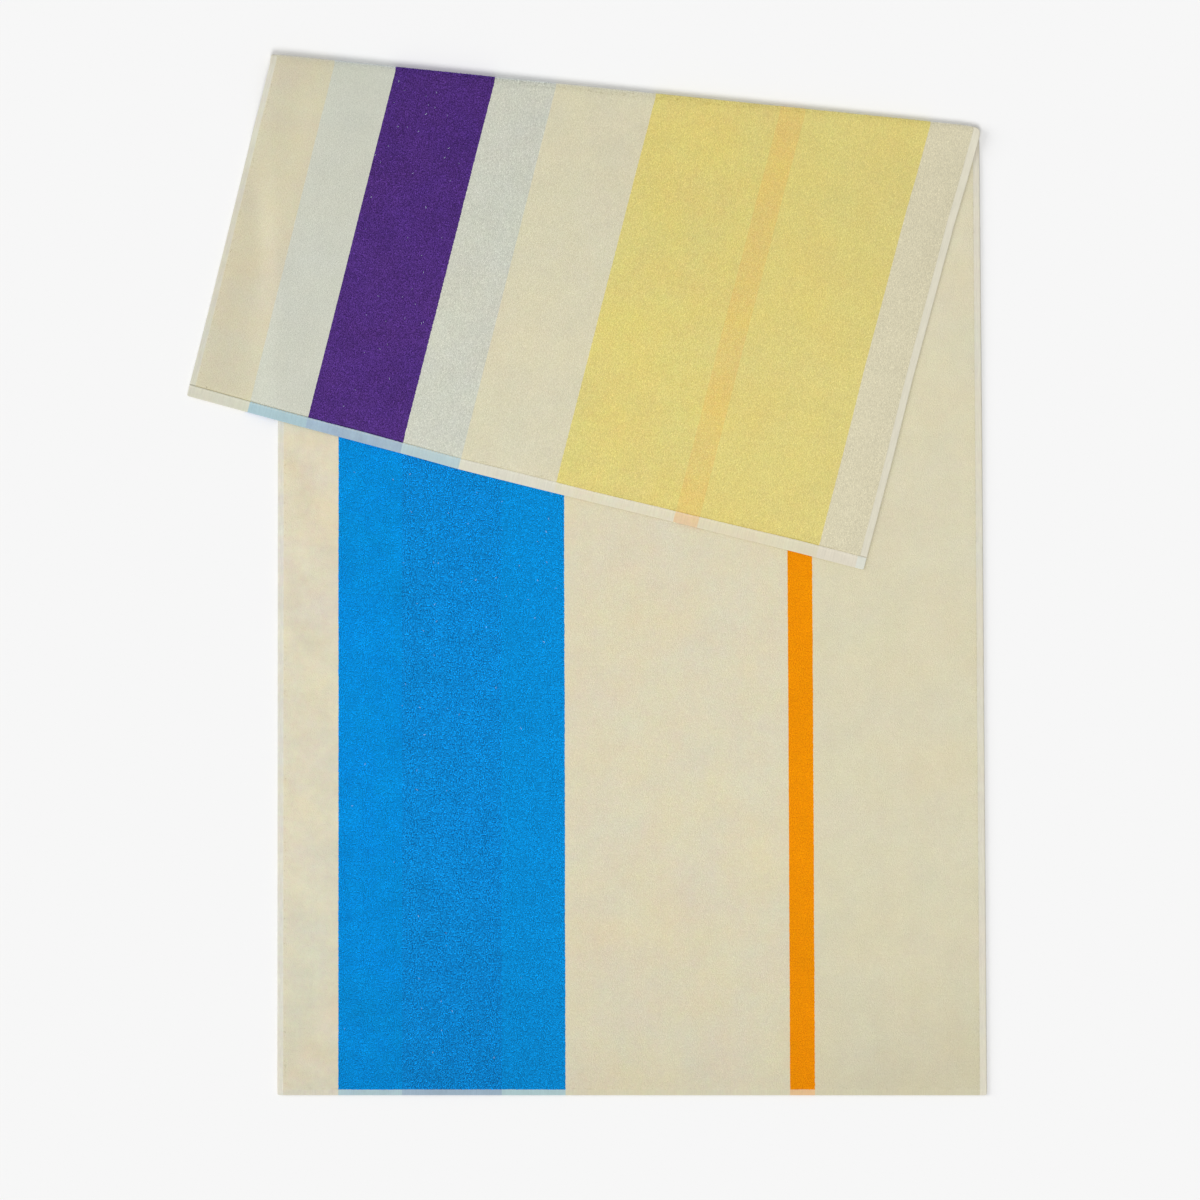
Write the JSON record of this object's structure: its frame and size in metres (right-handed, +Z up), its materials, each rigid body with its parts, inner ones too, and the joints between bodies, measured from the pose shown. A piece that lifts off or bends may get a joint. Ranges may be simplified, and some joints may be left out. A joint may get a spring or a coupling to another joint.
{
  "type": "bath towel",
  "caption": "Striped cotton bath towel lying flat, its top end folded over at a slant so that the reverse shows and a corner drops past the layer below.",
  "frame": {"origin": "under the middle of the towel's box, on the surface it lies on", "axes": "+X across the towel, +Y along it towards the fold, +Z up from the surface"},
  "size_m": [0.7947, 1.0336, 0.0103],
  "materials": {
    "towel_cotton": "short dense cotton pile in lengthwise colour stripes on both sides, with flat woven hems"
  },
  "bodies": {
    "root": {"towel": "towel_cotton"}
  },
  "joints": []
}
